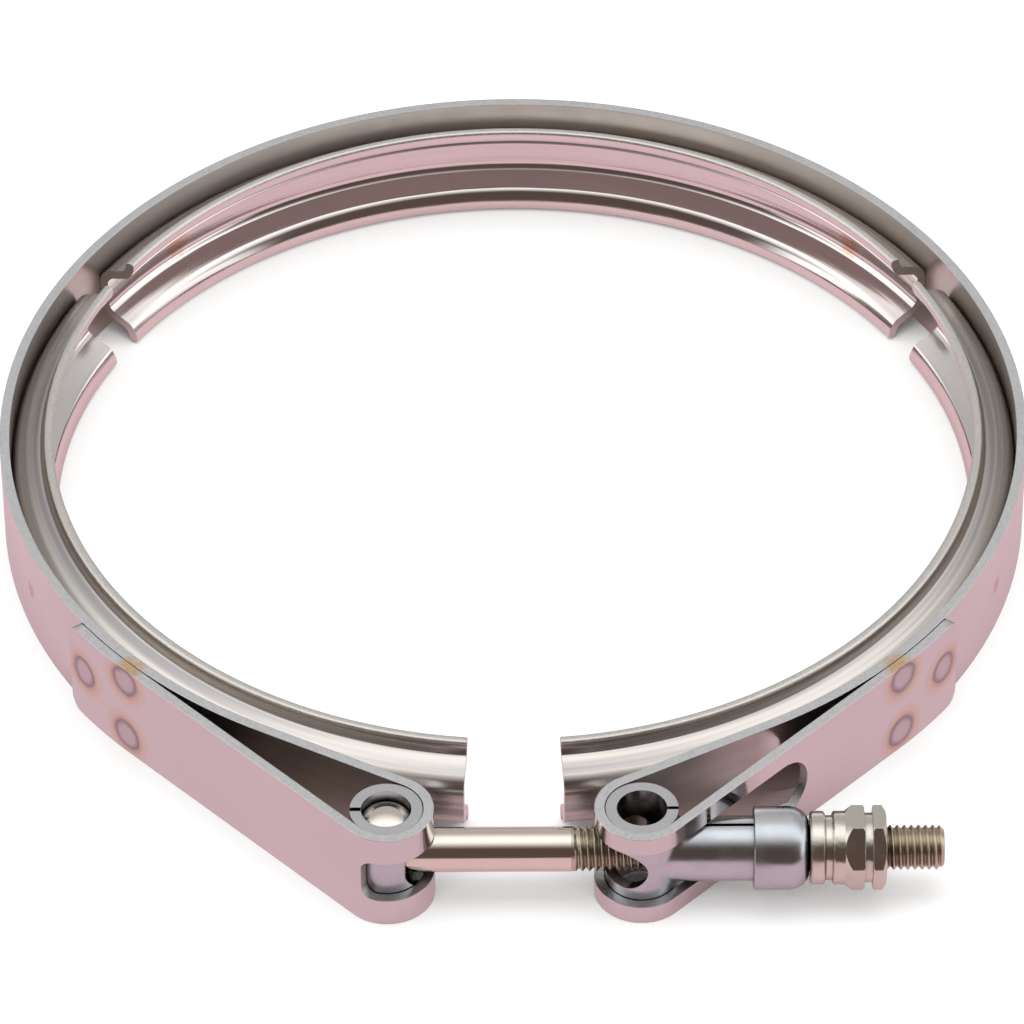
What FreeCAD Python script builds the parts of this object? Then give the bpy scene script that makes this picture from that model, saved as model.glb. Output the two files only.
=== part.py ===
"""V-band clamp for an exhaust or turbo joint, T-bolt closure, about 191 mm across.

The clamp lies flat. +Z is the axis of the clamp and of the pipe joint that it
closes, z = 0 is the middle of the band's width, and the origin is on the axis.
The closing bolt lies across the front (-Y side) and points along +X.
Lengths are millimetres and angles are degrees, measured from +X about +Z.
"""

import FreeCAD, Part
import math
import os

V = FreeCAD.Vector
ORIGIN = V(0, 0, 0)
UP = V(0, 0, 1)
ALONG = V(1, 0, 0)
TINY = 1e-6
EDGE_NEAR = 0.01

# ---- outer band: one flat strip, both ends folded back into loops ----
BAND_OUTER_R = 95.7
STRIP_T = 1.8
STRIP_WIDTH = 20.4
LOOP_X = 22.5
LOOP_Y = -104.2
LOOP_OUTER_R = 8.4
TAIL_GAP = 0.2
TAIL_END_ANGLE = 214.5
TAIL_CORNER_R = 3.0
NUGGET_R = 2.6
NUGGETS = ((217.1, 1.1), (224.2, 7.2), (224.2, -6.0))

# ---- slots in the loops, where the bolt and the saddle come out ----
LEFT_SLOT_HALF = 4.5
LEFT_SLOT_CORNER = 2.4
LEFT_SLOT_FROM = -123.0
LEFT_SLOT_TO = 42.0
RIGHT_SLOT_HALF = 6.4
RIGHT_SLOT_FROM = 138.0
RIGHT_SLOT_REACH = 34.0

# ---- V retainers: folded channel segments inside the band ----
RETAINER_T = 1.8
RETAINER_SEAT_GAP = 0.05
CHANNEL_BASE_HALF = 4.3
CHANNEL_NECK = (87.5, 6.5)
CHANNEL_LIP = (86.2, 9.45)
CHANNEL_BEND_R = RETAINER_T / 2
BACK_SPAN = (32.2, 147.8)
LEFT_SPAN = (152.8, 264.5)

# ---- T-bolt, its sleeve and the nut side ----
BOLT_R = 4.0
BOLT_END_X = 75.9
BOLT_CHAMFER = 0.8
HEAD_R = 4.37
HEAD_HALF = 9.3
HEAD_DOME = 1.5
SLEEVE_OUTER_R = 6.45
SLEEVE_INNER_R = 4.45
SLEEVE_HALF = 10.0
SLEEVE_SLIT = 0.9
SLEEVE_HOLE = (5.55, 6.6)

# ---- saddle: a rolled barrel whose two wings close round the bolt ----
WING_OUTER_R = 5.75
WING_INNER_R = 4.3
WING_END_X = 49.0
WING_SEAM = 0.7
WING_FLOW_R = 2.6
BARREL_SLOT_HALF = 4.15
BARREL_SLOT_ANGLE = 91.0

# ---- cap pressed over the wing ends ----
CAP_OUTER_R = 7.4
CAP_X = (42.2, 52.0)
CAP_END_T = 2.2
CAP_ROUND_R = 2.7
CAP_HOLE_R = 4.2

# ---- thrust washer and lock nut ----
WASHER_X = (52.15, 54.85)
WASHER_OUTER_R = 6.5
WASHER_BORE_R = 4.15
WASHER_CHAMFER = 0.35
NUT_FROM_X = 54.9
NUT_NECK = (5.75, 56.1)
NUT_COLLAR = (6.5, 58.3)
NUT_HEX_FROM_X = 59.6
NUT_GROOVE = (6.17, 61.8, 63.2)
NUT_END_X = 65.6
NUT_ACROSS_FLATS = 13.0
NUT_BORE_R = 4.05
NUT_COUNTERSINK = 0.7
NUT_CROWN_BEVEL = 1.1
NUT_EDGE = 0.3
NUT_TURN = 48.6


# ---------------------------------------------------------------- helpers

def polar(centre, radius, angle):
    turn = math.radians(angle)
    return centre + V(radius * math.cos(turn), radius * math.sin(turn), 0)


def line(start, end):
    return {"kind": "line", "start": start, "end": end}


def arc(centre, radius, start, end):
    """An arc from angle start to angle end: clockwise where end is the smaller."""
    return {"kind": "arc", "centre": centre, "radius": radius, "start": start, "end": end}


def offset_edge(piece, shift):
    """The edge of one path piece, moved by shift to the left of its direction."""
    if piece["kind"] == "line":
        way = (piece["end"] - piece["start"]).normalize()
        side = UP.cross(way) * shift
        return Part.LineSegment(piece["start"] + side, piece["end"] + side).toShape()
    turns_left = piece["end"] > piece["start"]
    radius = piece["radius"] - shift if turns_left else piece["radius"] + shift
    middle = (piece["start"] + piece["end"]) / 2
    points = [polar(piece["centre"], radius, a) for a in (piece["start"], middle, piece["end"])]
    return Part.Arc(*points).toShape()


def shrinks_to_point(piece, shift):
    """True on the inner side of a bend that is folded sharp."""
    if piece["kind"] == "line":
        return False
    turns_left = piece["end"] > piece["start"]
    return abs(piece["radius"] - (shift if turns_left else -shift)) < TINY


def ribbon(path, thickness):
    """The face of a sheet of even thickness whose middle line is the path."""
    half = thickness / 2
    left = [offset_edge(piece, half) for piece in path if not shrinks_to_point(piece, half)]
    right = [offset_edge(piece, -half) for piece in path if not shrinks_to_point(piece, -half)]
    first = Part.LineSegment(left[0].firstVertex(True).Point, right[0].firstVertex(True).Point)
    last = Part.LineSegment(left[-1].lastVertex(True).Point, right[-1].lastVertex(True).Point)
    edges = left + right + [first.toShape(), last.toShape()]
    return Part.Face(Part.Wire(Part.__sortEdges__(edges)))


def bent_path(points, bend_r):
    """Straight runs through the points, with an arc of bend_r at each inner point."""
    path = []
    start = points[0]
    for before, corner, after in zip(points, points[1:], points[2:]):
        came = (corner - before).normalize()
        goes = (after - corner).normalize()
        turn = math.atan2(came.cross(goes).z, came.dot(goes))
        reach = bend_r * math.tan(abs(turn) / 2)
        side = 1 if turn > 0 else -1
        entry = corner - came * reach
        centre = entry + UP.cross(came) * bend_r * side
        spoke = entry - centre
        angle = math.degrees(math.atan2(spoke.y, spoke.x))
        path.append(line(start, entry))
        path.append(arc(centre, bend_r, angle, angle + math.degrees(turn)))
        start = corner + goes * reach
    path.append(line(start, points[-1]))
    return path


def slab(face, low, high):
    return face.translated(V(0, 0, low)).extrude(V(0, 0, high - low))


def sector(centre, inner_r, outer_r, start, end, half_height):
    """A block of an annulus, from angle start to angle end, counter-clockwise."""
    ring = ribbon([arc(centre, (inner_r + outer_r) / 2, start, end)], outer_r - inner_r)
    return slab(ring, -half_height, half_height)


def radial_slot(centre, inner_r, outer_r, start, end, half_height, corner_r):
    """A slot through a rolled wall, its four corners rounded."""
    inset = math.degrees(corner_r / outer_r)
    cutter = sector(centre, inner_r, outer_r, start + inset, end - inset, half_height)
    if half_height > corner_r:
        cutter = cutter.fuse(sector(centre, inner_r, outer_r, start, end, half_height - corner_r))
    for angle in (start + inset, end - inset):
        for height in {half_height - corner_r, corner_r - half_height}:
            foot = polar(centre, inner_r / 2, angle) + V(0, 0, height)
            way = polar(ORIGIN, 1, angle)
            cutter = cutter.fuse(Part.makeCylinder(corner_r, outer_r, foot, way))
    return cutter


def turned(profile, centre_y):
    """A solid turned about the bolt's axis from (x, radius) points."""
    points = [V(x, centre_y + radius, 0) for x, radius in profile]
    outline = Part.makePolygon(points + points[:1])
    return Part.Face(outline).revolve(V(0, centre_y, 0), ALONG, 360)


def tube(outer_r, inner_r, half_height, centre):
    base = centre - V(0, 0, half_height)
    wall = Part.makeCylinder(outer_r, 2 * half_height, base, UP)
    return wall.cut(Part.makeCylinder(inner_r, 2 * half_height, base, UP))


def block(low, high):
    return Part.makeBox(high.x - low.x, high.y - low.y, high.z - low.z, low)


# ---------------------------------------------------------------- outer band

LEFT_LOOP = V(-LOOP_X, LOOP_Y, 0)
RIGHT_LOOP = V(LOOP_X, LOOP_Y, 0)
LOOP_DISTANCE = LEFT_LOOP.Length
LOOP_MID_R = LOOP_OUTER_R - STRIP_T / 2
BAND_MID_R = BAND_OUTER_R - STRIP_T / 2
TAIL_MID_R = BAND_OUTER_R + TAIL_GAP + STRIP_T / 2


def left_half_path():
    """The strip's middle line, from the back of the band round to its left end."""
    loop_angle = 180 + math.degrees(math.atan(LOOP_Y / -LOOP_X))
    inner_turn = math.degrees(math.acos((BAND_MID_R + LOOP_MID_R) / LOOP_DISTANCE))
    outer_turn = math.degrees(math.acos((TAIL_MID_R - LOOP_MID_R) / LOOP_DISTANCE))
    leaves_band = loop_angle - inner_turn
    meets_tail = loop_angle - outer_turn
    enters_loop = leaves_band - 180
    leaves_loop = meets_tail - 360
    return [
        arc(ORIGIN, BAND_MID_R, 90, leaves_band),
        line(polar(ORIGIN, BAND_MID_R, leaves_band), polar(LEFT_LOOP, LOOP_MID_R, enters_loop)),
        arc(LEFT_LOOP, LOOP_MID_R, enters_loop, leaves_loop),
        line(polar(LEFT_LOOP, LOOP_MID_R, leaves_loop), polar(ORIGIN, TAIL_MID_R, meets_tail)),
        arc(ORIGIN, TAIL_MID_R, meets_tail, TAIL_END_ANGLE),
    ]


def tail_corners():
    """What the rounding takes off the two corners of the left end."""
    trim = Part.Shape()
    for side in (1, -1):
        inset = math.degrees(TAIL_CORNER_R / TAIL_MID_R)
        height = side * (STRIP_WIDTH / 2 - TAIL_CORNER_R)
        way = polar(ORIGIN, 1, TAIL_END_ANGLE + inset)
        foot = polar(ORIGIN, BAND_OUTER_R + TAIL_GAP / 2, TAIL_END_ANGLE + inset) + V(0, 0, height)
        corner = sector(ORIGIN, BAND_OUTER_R + TAIL_GAP / 2, TAIL_MID_R + STRIP_T,
                        TAIL_END_ANGLE - inset, TAIL_END_ANGLE + inset, TAIL_CORNER_R)
        corner.translate(V(0, 0, side * STRIP_WIDTH / 2))
        corner = corner.cut(Part.makeCylinder(TAIL_CORNER_R, 3 * STRIP_T, foot, way))
        trim = corner if trim.isNull() else trim.fuse(corner)
    return trim


def left_half():
    half = slab(ribbon(left_half_path(), STRIP_T), -STRIP_WIDTH / 2, STRIP_WIDTH / 2)
    half = half.cut(tail_corners())
    for angle, height in NUGGETS:
        foot = polar(ORIGIN, BAND_OUTER_R - STRIP_T / 2, angle) + V(0, 0, height)
        length = STRIP_T + TAIL_GAP
        half = half.fuse(Part.makeCylinder(NUGGET_R, length, foot, polar(ORIGIN, 1, angle)))
    return half


def right_leg_slot():
    """The long part of the right slot, along the flat leg behind the saddle."""
    outer_leg = left_half_path()[3]
    start = V(-outer_leg["start"].x, outer_leg["start"].y, 0)
    way = V(-outer_leg["end"].x, outer_leg["end"].y, 0) - start
    way.normalize()
    across = UP.cross(way)
    depth = 2 * STRIP_T
    foot = start - across * (depth / 2)
    reach = RIGHT_SLOT_REACH - RIGHT_SLOT_HALF
    side = V(0, 0, RIGHT_SLOT_HALF)
    outline = Part.makePolygon([foot - side, foot - side + way * reach,
                                foot + side + way * reach, foot + side, foot - side])
    run = Part.Face(outline).extrude(across * depth)
    return run.fuse(Part.makeCylinder(RIGHT_SLOT_HALF, depth, foot + way * reach, across))


def outer_band():
    half = left_half()
    band = half.fuse(half.mirror(ORIGIN, ALONG)).removeSplitter()
    inner_r = LOOP_OUTER_R - 2 * STRIP_T
    outer_r = LOOP_OUTER_R + STRIP_T
    left_slot = radial_slot(LEFT_LOOP, inner_r, outer_r, LEFT_SLOT_FROM, LEFT_SLOT_TO,
                            LEFT_SLOT_HALF, LEFT_SLOT_CORNER)
    loop_bend = left_half_path()[2]
    right_slot = sector(RIGHT_LOOP, inner_r, outer_r, RIGHT_SLOT_FROM, 180 - loop_bend["end"],
                        RIGHT_SLOT_HALF)
    return band.cut(left_slot).cut(right_slot).cut(right_leg_slot())


# ---------------------------------------------------------------- V retainers

def retainer(span):
    """A channel folded from sheet: a flat base, two sloped flanks, two upright lips."""
    base_r = BAND_OUTER_R - STRIP_T - RETAINER_SEAT_GAP - RETAINER_T / 2
    upper = [V(*CHANNEL_LIP, 0), V(*CHANNEL_NECK, 0), V(base_r, CHANNEL_BASE_HALF, 0)]
    lower = [V(point.x, -point.y, 0) for point in reversed(upper)]
    profile = ribbon(bent_path(upper + lower, CHANNEL_BEND_R), RETAINER_T)
    profile.rotate(ORIGIN, ALONG, 90)
    profile.rotate(ORIGIN, UP, span[0])
    return profile.revolve(ORIGIN, UP, span[1] - span[0])


# ---------------------------------------------------------------- T-bolt side

def t_bolt():
    """A domed cross-head that turns in its sleeve, and the shank through it."""
    dome_r = (HEAD_R ** 2 + HEAD_DOME ** 2) / (2 * HEAD_DOME)
    head = Part.makeCylinder(HEAD_R, 2 * HEAD_HALF, V(0, 0, -HEAD_HALF), UP)
    for side in (1, -1):
        centre = V(0, 0, side * (HEAD_HALF - dome_r))
        reach = Part.makeSphere(dome_r, centre)
        inner_half = Part.makeCylinder(HEAD_R, 2 * HEAD_HALF, V(0, 0, 0), UP * -side)
        head = head.common(reach.fuse(inner_half))
    head.translate(LEFT_LOOP)
    shank = turned([(-LOOP_X, 0), (-LOOP_X, BOLT_R), (BOLT_END_X - BOLT_CHAMFER, BOLT_R),
                    (BOLT_END_X, BOLT_R - BOLT_CHAMFER), (BOLT_END_X, 0)], LOOP_Y)
    return head.fuse(shank)


def loop_sleeve():
    """A sleeve rolled from flat blank, with the bolt's hole punched through it."""
    sleeve = tube(SLEEVE_OUTER_R, SLEEVE_INNER_R, SLEEVE_HALF, LEFT_LOOP)
    slit = block(V(-2 * SLEEVE_OUTER_R, -SLEEVE_SLIT / 2, -SLEEVE_HALF),
                 V(0, SLEEVE_SLIT / 2, SLEEVE_HALF))
    half_wide, half_tall = SLEEVE_HOLE
    rise = half_tall - half_wide
    hole = block(V(0, -half_wide, -rise), V(2 * SLEEVE_OUTER_R, half_wide, rise))
    for height in (rise, -rise):
        end = Part.makeCylinder(half_wide, 2 * SLEEVE_OUTER_R, V(0, 0, height), ALONG)
        hole = hole.fuse(end)
    for cutter in (slit, hole):
        cutter.translate(LEFT_LOOP)
        sleeve = sleeve.cut(cutter)
    return sleeve


# ---------------------------------------------------------------- saddle side

def saddle():
    """A rolled barrel in the right loop, flowing into two wings round the bolt."""
    height = 2 * SLEEVE_HALF
    barrel = Part.makeCylinder(SLEEVE_OUTER_R, height, RIGHT_LOOP - V(0, 0, SLEEVE_HALF), UP)
    wing_length = WING_END_X - LOOP_X
    wings = Part.makeCylinder(WING_OUTER_R, wing_length, RIGHT_LOOP, ALONG)
    form = barrel.fuse(wings)
    crossing = [edge for edge in form.Edges if meets_barrel(edge)]
    form = form.makeFillet(WING_FLOW_R, crossing)
    bore = Part.makeCylinder(SLEEVE_INNER_R, height, RIGHT_LOOP - V(0, 0, SLEEVE_HALF), UP)
    passage = Part.makeCylinder(WING_INNER_R, wing_length, RIGHT_LOOP, ALONG)
    seam = block(RIGHT_LOOP + V(0, -WING_SEAM / 2, -SLEEVE_HALF),
                 RIGHT_LOOP + V(wing_length, WING_SEAM / 2, SLEEVE_HALF))
    slot = radial_slot(RIGHT_LOOP, SLEEVE_INNER_R / 2, SLEEVE_OUTER_R + 1,
                       180 - BARREL_SLOT_ANGLE, 180 + BARREL_SLOT_ANGLE,
                       BARREL_SLOT_HALF, BARREL_SLOT_HALF)
    for cutter in (bore, passage, seam, slot):
        form = form.cut(cutter)
    return form


def meets_barrel(edge):
    """True for the curve where the wings' outer round runs into the barrel."""
    box = edge.BoundBox
    in_front = box.XMin > LOOP_X + TINY and box.XMax < LOOP_X + SLEEVE_OUTER_R + TINY
    return in_front and box.ZMax < SLEEVE_HALF - TINY and box.ZMin > TINY - SLEEVE_HALF


def saddle_cap():
    """A cup pressed over the wing ends, its closed end rounded and bored."""
    start, end = CAP_X
    length = end - start
    face = V(start, LOOP_Y, 0)
    cup = Part.makeCylinder(CAP_OUTER_R, length, face, ALONG)
    rim = [edge for edge in cup.Edges if edge.BoundBox.XMin > end - EDGE_NEAR]
    cup = cup.makeFillet(CAP_ROUND_R, rim)
    socket = Part.makeCylinder(WING_OUTER_R, length - CAP_END_T, face, ALONG)
    hole = Part.makeCylinder(CAP_HOLE_R, length, face, ALONG)
    return cup.cut(socket).cut(hole)


# ---------------------------------------------------------------- washer and nut

def thrust_washer():
    start, end = WASHER_X
    outer = WASHER_OUTER_R
    edge = WASHER_CHAMFER
    return turned([(start, WASHER_BORE_R), (start, outer - edge), (start + edge, outer),
                   (end - edge, outer), (end, outer - edge), (end, WASHER_BORE_R)], LOOP_Y)


def lock_nut():
    """A turned nut: neck, collar, hexagon, and a grooved crown that locks it."""
    neck_r, neck_end = NUT_NECK
    collar_r, collar_end = NUT_COLLAR
    groove_r, groove_from, groove_to = NUT_GROOVE
    corner_r = NUT_ACROSS_FLATS / math.sqrt(3)
    sink = NUT_COUNTERSINK
    blank = turned([
        (NUT_FROM_X, NUT_BORE_R + sink), (NUT_FROM_X, neck_r), (neck_end, neck_r),
        (neck_end, collar_r - NUT_EDGE), (neck_end + NUT_EDGE, collar_r),
        (collar_end, collar_r), (NUT_HEX_FROM_X, corner_r),
        (groove_from - NUT_EDGE, corner_r), (groove_from, corner_r - NUT_EDGE),
        (groove_from, groove_r), (groove_to, groove_r),
        (groove_to, corner_r - NUT_EDGE), (groove_to + NUT_EDGE, corner_r),
        (NUT_END_X - sink, corner_r), (NUT_END_X, corner_r - NUT_CROWN_BEVEL),
        (NUT_END_X, NUT_BORE_R + sink), (NUT_END_X - sink, NUT_BORE_R),
        (NUT_FROM_X + sink, NUT_BORE_R)], LOOP_Y)
    corners = [V(collar_end, LOOP_Y, 0) + hex_corner(corner_r, number) for number in range(7)]
    prism = Part.Face(Part.makePolygon(corners)).extrude(V(NUT_END_X - collar_end, 0, 0))
    lathe_part = block(V(NUT_FROM_X, LOOP_Y - collar_r, -collar_r),
                       V(collar_end, LOOP_Y + collar_r, collar_r))
    return blank.common(prism.fuse(lathe_part))


def hex_corner(corner_r, number):
    turn = math.radians(60 * number + NUT_TURN)
    return V(0, corner_r * math.cos(turn), corner_r * math.sin(turn))


PIECES = {
    "outer_band": outer_band,
    "v_retainer_back": lambda: retainer(BACK_SPAN),
    "v_retainer_left": lambda: retainer(LEFT_SPAN),
    "v_retainer_right": lambda: retainer((180 - LEFT_SPAN[1], 180 - LEFT_SPAN[0])),
    "loop_sleeve": loop_sleeve,
    "t_bolt": t_bolt,
    "saddle": saddle,
    "saddle_cap": saddle_cap,
    "thrust_washer": thrust_washer,
    "lock_nut": lock_nut,
}

os.makedirs("parts", exist_ok=True)
for name, build in PIECES.items():
    shape = build()
    shape.exportStep("parts/" + name + ".step")
    box = shape.BoundBox
    print(name, shape.ShapeType, len(shape.Solids), shape.isValid(), round(shape.Volume, 1),
          [round(v, 2) for v in (box.XMin, box.XMax, box.YMin, box.YMax, box.ZMin, box.ZMax)])
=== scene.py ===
import bmesh
import bpy
import math
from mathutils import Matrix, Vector


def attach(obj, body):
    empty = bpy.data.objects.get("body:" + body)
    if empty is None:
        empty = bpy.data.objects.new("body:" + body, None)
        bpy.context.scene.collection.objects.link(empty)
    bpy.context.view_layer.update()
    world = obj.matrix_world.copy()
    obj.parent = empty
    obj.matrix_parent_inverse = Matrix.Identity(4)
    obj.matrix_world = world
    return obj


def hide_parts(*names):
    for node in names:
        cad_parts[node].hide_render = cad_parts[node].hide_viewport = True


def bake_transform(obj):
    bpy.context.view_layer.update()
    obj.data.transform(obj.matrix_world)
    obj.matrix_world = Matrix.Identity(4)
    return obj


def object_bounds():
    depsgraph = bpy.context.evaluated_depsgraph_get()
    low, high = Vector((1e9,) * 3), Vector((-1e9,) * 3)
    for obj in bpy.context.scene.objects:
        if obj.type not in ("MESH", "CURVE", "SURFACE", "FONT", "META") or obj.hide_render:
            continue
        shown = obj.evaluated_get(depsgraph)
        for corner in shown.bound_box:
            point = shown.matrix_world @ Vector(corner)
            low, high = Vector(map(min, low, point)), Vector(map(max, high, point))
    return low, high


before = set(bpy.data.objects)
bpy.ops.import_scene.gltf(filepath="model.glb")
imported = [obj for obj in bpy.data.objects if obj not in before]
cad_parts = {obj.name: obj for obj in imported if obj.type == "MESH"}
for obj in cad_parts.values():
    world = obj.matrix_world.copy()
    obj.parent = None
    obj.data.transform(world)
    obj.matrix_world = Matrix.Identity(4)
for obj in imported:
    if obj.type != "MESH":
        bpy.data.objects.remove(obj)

CAD_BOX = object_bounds()
MM = 0.001

# ---------------------------------------------------------------- driving sizes, mm and degrees

BAND_OUTER_R = 95.7
BACK_ANGLE = 90.0
STRIP_T = 1.8
STRIP_HALF = 10.2
LOOP_X = 22.5
LOOP_Y = -104.2
LOOP_MID_R = 7.5
TAIL_GAP = 0.2
TAIL_END_ANGLE = 214.5
TAIL_CORNER_R = 3.0
LEFT_SLOT = (-123.0, 42.0)
LEFT_SLOT_HALF = 4.5
LEFT_SLOT_CORNER = 2.4
RIGHT_SLOT_FROM = 42.0
RIGHT_SLOT_REACH = 34.0
RIGHT_SLOT_HALF = 6.4

WELD_R = 3.0
WELD_RING = 0.45
WELD_DEPTH = 0.10
WELD_DISH = 0.5
WELDS = ((217.1, 1.1), (224.2, 7.2), (224.2, -6.0))
SMEAR_ANGLE = 202.1
SMEAR_HEIGHT = 0.4
CHANNEL_WELDS = ((135.3, -1.1), (44.6, -1.8))
HEATED_EDGES = (224.5, 315.5)

RETAINER_T = 1.8
RETAINER_BASE = (92.95, 4.3)
RETAINER_NECK = (87.6, 6.55)
RETAINER_LIP = ((86.60, 8.3), (86.62, 9.72))    # its bend, then its end
BASE_BEND_R = 3.0
NECK_BEND_R = 1.5
LIP_BEND_R = 3.0
LIP_EDGE_R = 0.6
SPANS = {"back": (32.2, 147.8), "left": (152.8, 264.5), "right": (-84.5, 27.2)}

BOLT_R = 4.0
BOLT_END_X = 75.9
THREAD_FROM_X = 10.0
PITCH = 1.25
THREAD_DEPTH = 0.72
RUNOUT = 1.6
END_CHAMFER = 0.9
HEAD_R = 4.37
HEAD_HALF = 9.3
HEAD_DOME = 1.5
HEAD_EDGE = 0.35

CAP_X = (42.2, 52.0)
CAP_OUTER_R = 7.4
CAP_INNER_R = 5.85      # 0.1 clear of the saddle's wings, so that no faces coincide
CAP_END_T = 2.2
CAP_HOLE_R = 4.2
CAP_FLAT_R = 4.5
CAP_SHOULDER = 3.8
CAP_RIM_EDGE = 0.2

# ---------------------------------------------------------------- mesh fineness

SHARP_ANGLE = 32
MERGE_WITHIN = 2e-7
STRIP_STEPS = (1.6, 1.0, 0.5, 1.3, 0.36)
CLOSEST_ROWS = 0.02
COLUMNS = 30
RETAINER_STEP = 1.1
THREAD_STEPS_PER_TURN = 12
SHANK_SIDES = 40
HEAD_SIDES = 64
CAP_SIDES = 96


# ---------------------------------------------------------------- mesh helpers

def new_piece(name, slot, *nodes):
    """An empty mesh object that stands for the CAD nodes."""
    mesh = bpy.data.meshes.new(name)
    piece = bpy.data.objects.new(name, mesh)
    bpy.context.collection.objects.link(piece)
    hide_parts(*nodes)
    return piece


def fill(piece, bm, materials):
    """Moves the built mesh into the piece, smooth but for its sharp edges."""
    bmesh.ops.remove_doubles(bm, verts=bm.verts, dist=MERGE_WITHIN)
    bmesh.ops.recalc_face_normals(bm, faces=bm.faces)
    for face in bm.faces:
        face.smooth = True
    bm.to_mesh(piece.data)
    bm.free()
    piece.data.set_sharp_from_angle(angle=math.radians(SHARP_ANGLE))
    for material in materials:
        piece.data.materials.append(material)


def polar(radius, angle, centre=(0.0, 0.0)):
    turn = math.radians(angle)
    return Vector((centre[0] + radius * math.cos(turn), centre[1] + radius * math.sin(turn)))


# ---------------------------------------------------------------- the strip's path

BAND_MID_R = BAND_OUTER_R - STRIP_T / 2
TAIL_MID_R = BAND_OUTER_R + TAIL_GAP + STRIP_T / 2
LOOP_CENTRE = (-LOOP_X, LOOP_Y)
LOOP_DISTANCE = math.hypot(LOOP_X, LOOP_Y)
LOOP_ANGLE = 180 + math.degrees(math.atan(LOOP_Y / -LOOP_X))
LEAVES_BAND = LOOP_ANGLE - math.degrees(math.acos((BAND_MID_R + LOOP_MID_R) / LOOP_DISTANCE))
MEETS_TAIL = LOOP_ANGLE - math.degrees(math.acos((TAIL_MID_R - LOOP_MID_R) / LOOP_DISTANCE))
ENTERS_LOOP = LEAVES_BAND - 180
LEAVES_LOOP = MEETS_TAIL - 360


def arc_length(radius, start, end):
    return radius * math.radians(abs(end - start))


class StripPath:
    """The middle line of the left half, from the back of the band to the tail's end."""

    def __init__(self):
        into = (polar(BAND_MID_R, LEAVES_BAND), polar(LOOP_MID_R, ENTERS_LOOP, LOOP_CENTRE))
        out = (polar(LOOP_MID_R, LEAVES_LOOP, LOOP_CENTRE), polar(TAIL_MID_R, MEETS_TAIL))
        self.parts = [
            ("arc", (0, 0), BAND_MID_R, BACK_ANGLE, LEAVES_BAND),
            ("line", *into),
            ("arc", LOOP_CENTRE, LOOP_MID_R, ENTERS_LOOP, LEAVES_LOOP),
            ("line", *out),
            ("arc", (0, 0), TAIL_MID_R, MEETS_TAIL, TAIL_END_ANGLE),
        ]
        self.starts = [0.0]
        for part in self.parts:
            self.starts.append(self.starts[-1] + self.length(part))
        self.end = self.starts[-1]

    @staticmethod
    def length(part):
        if part[0] == "line":
            return (part[2] - part[1]).length
        return arc_length(*part[2:])

    def at(self, s):
        """The point at the length s, and the direction to the left of the path."""
        number = max(n for n in range(len(self.parts)) if self.starts[n] <= s + 1e-9)
        part = self.parts[number]
        share = (s - self.starts[number]) / self.length(part)
        if part[0] == "line":
            way = (part[2] - part[1]).normalized()
            return part[1].lerp(part[2], share), Vector((-way.y, way.x))
        _, centre, radius, start, end = part
        angle = start + (end - start) * share
        inward = -polar(1, angle) if end > start else polar(1, angle)
        return polar(radius, angle, centre), inward

    def loop_length(self, angle):
        """The path length at an angle about the loop's centre."""
        return self.starts[2] + arc_length(LOOP_MID_R, ENTERS_LOOP, angle)

    def tail_length(self, angle):
        return self.starts[4] + arc_length(TAIL_MID_R, MEETS_TAIL, angle)


PATH = StripPath()


class Slot:
    """A slot along the strip, with a straight or fully round end at each side."""

    def __init__(self, start, end, half, start_r, end_r):
        self.start, self.end, self.half = start, end, half
        self.start_r, self.end_r = start_r, end_r

    def half_height(self, s):
        if s <= self.start or s >= self.end:
            return 0.0
        for depth, radius in ((s - self.start, self.start_r), (self.end - s, self.end_r)):
            if depth < radius:
                return self.half - radius + math.sqrt(radius ** 2 - (radius - depth) ** 2)
        return self.half

    def samples(self):
        steps = 9
        places = [self.start, self.end]
        for n in range(steps + 1):
            drop = 1 - math.cos(math.radians(90 * n / steps))
            places.append(self.start + max(0.03, self.start_r * drop))
            places.append(self.end - max(0.03, self.end_r * drop))
        return places


def left_slot():
    start = PATH.loop_length(LEFT_SLOT[1])
    return Slot(start, PATH.loop_length(LEFT_SLOT[0]), LEFT_SLOT_HALF,
                LEFT_SLOT_CORNER, LEFT_SLOT_CORNER)


def right_slot():
    start = PATH.loop_length(RIGHT_SLOT_FROM)
    return Slot(start, PATH.starts[3] + RIGHT_SLOT_REACH, RIGHT_SLOT_HALF,
                0.5, RIGHT_SLOT_HALF)


def strip_samples(slot):
    """Path lengths at which the strip has a row of points."""
    places = [0.0, 0.1]
    for number, step in enumerate(STRIP_STEPS):
        start, end = PATH.starts[number], PATH.starts[number + 1]
        count = math.ceil((end - start) / step)
        places += [start + (end - start) * n / count for n in range(1, count + 1)]
    for n in range(9):
        places.append(PATH.end - TAIL_CORNER_R * (1 - math.cos(math.radians(90 * n / 8))))
    places += slot.samples()
    keep = []
    for place in sorted(places):
        if not keep or place - keep[-1] > CLOSEST_ROWS:
            keep.append(place)
    return keep


def edge_height(s):
    """Half the strip's width at s, less at the tail's rounded corners."""
    depth = PATH.end - s
    if depth >= TAIL_CORNER_R:
        return STRIP_HALF
    rise = math.sqrt(max(0.0, TAIL_CORNER_R ** 2 - (TAIL_CORNER_R - depth) ** 2))
    return STRIP_HALF - TAIL_CORNER_R + rise


WELD_PLACES = [(PATH.tail_length(angle), height) for angle, height in WELDS]
SMEARS = ((arc_length(BAND_MID_R, BACK_ANGLE, SMEAR_ANGLE), SMEAR_HEIGHT),)


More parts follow.
